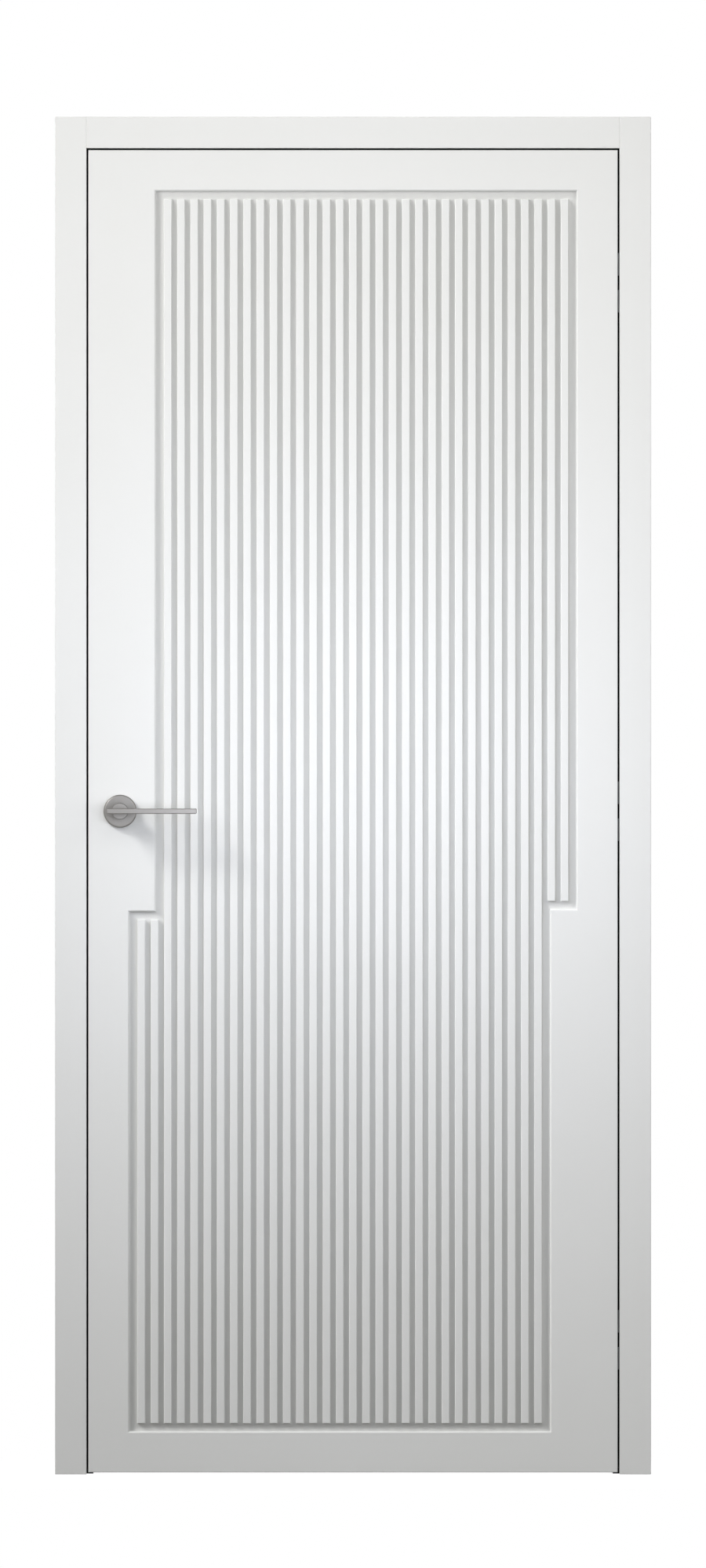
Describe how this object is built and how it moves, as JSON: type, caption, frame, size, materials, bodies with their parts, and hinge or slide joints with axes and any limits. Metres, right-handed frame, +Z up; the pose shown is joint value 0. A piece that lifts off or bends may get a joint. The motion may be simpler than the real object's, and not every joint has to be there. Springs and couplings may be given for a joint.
{
  "type": "interior door",
  "caption": "Flush white interior door in its rebated frame, with upright slats in a stepped recess, a lever on a round rosette, and concealed hinges that let the leaf swing open.",
  "frame": {"origin": "on the hinge jamb's wall face, at the finished floor, in the middle of the wall", "axes": "+X from the door towards the wall beside the hinges, +Y from the front to the rear face, +Z up"},
  "size_m": [0.901, 0.172, 2.0535],
  "materials": {
    "white_enamel": "matt white enamel sprayed on medium density fibreboard",
    "black_seal": "matt black",
    "satin_nickel": "satin nickel plate",
    "hinge_steel": "satin chromed zinc",
    "latch_steel": "brushed stainless steel"
  },
  "bodies": {
    "frame": {"hinge_jamb": "white_enamel", "latch_jamb": "white_enamel", "head_jamb": "white_enamel", "front_casing_right": "white_enamel", "front_casing_left": "white_enamel", "front_casing_head": "white_enamel", "rear_casing_right": "white_enamel", "rear_casing_left": "white_enamel", "rear_casing_head": "white_enamel", "seal_right": "black_seal", "seal_left": "black_seal", "seal_head": "black_seal", "strike_plate": "latch_steel", "upper_frame_hinge_cup": "hinge_steel", "middle_frame_hinge_cup": "hinge_steel", "lower_frame_hinge_cup": "hinge_steel"},
    "leaf": {"leaf_core": "white_enamel", "front_facing": "white_enamel", "rear_facing": "white_enamel", "front_slats": "white_enamel", "front_short_slats_left": "white_enamel", "front_short_slats_right": "white_enamel", "rear_slats": "white_enamel", "rear_short_slats_left": "white_enamel", "rear_short_slats_right": "white_enamel", "latch_forend": "latch_steel", "latch_bolt": "latch_steel", "front_rosette": "satin_nickel", "rear_rosette": "satin_nickel", "upper_leaf_hinge_cup": "hinge_steel", "middle_leaf_hinge_cup": "hinge_steel", "lower_leaf_hinge_cup": "hinge_steel"},
    "hinge_arms": {"upper_hinge_arms": "hinge_steel", "middle_hinge_arms": "hinge_steel", "lower_hinge_arms": "hinge_steel"},
    "lever": {"front_lever": "satin_nickel", "front_lever_neck": "satin_nickel", "rear_lever": "satin_nickel", "rear_lever_neck": "satin_nickel", "spindle": "latch_steel"}
  },
  "joints": [
    {"name": "leaf_swing", "type": "hinge", "parent": "frame", "child": "leaf", "pos_m": [-0.0335, -0.058, 0], "axis": [0, 0, 1], "range_deg": [0, 105]},
    {"name": "arm_swing", "type": "hinge", "parent": "frame", "child": "hinge_arms", "pos_m": [-0.0335, -0.058, 0], "axis": [0, 0, 1], "range_deg": [0, 52.5]},
    {"name": "lever_turn", "type": "hinge", "parent": "leaf", "child": "lever", "pos_m": [-0.787, -0.036, 1.003], "axis": [0, 1, 0], "range_deg": [0, 45], "stiffness_Nm_per_rad": 1.5, "springref_deg": -17.19}
  ],
  "couplings": [
    {"joint": "arm_swing", "follows": "leaf_swing", "ratio": 0.5}
  ]
}
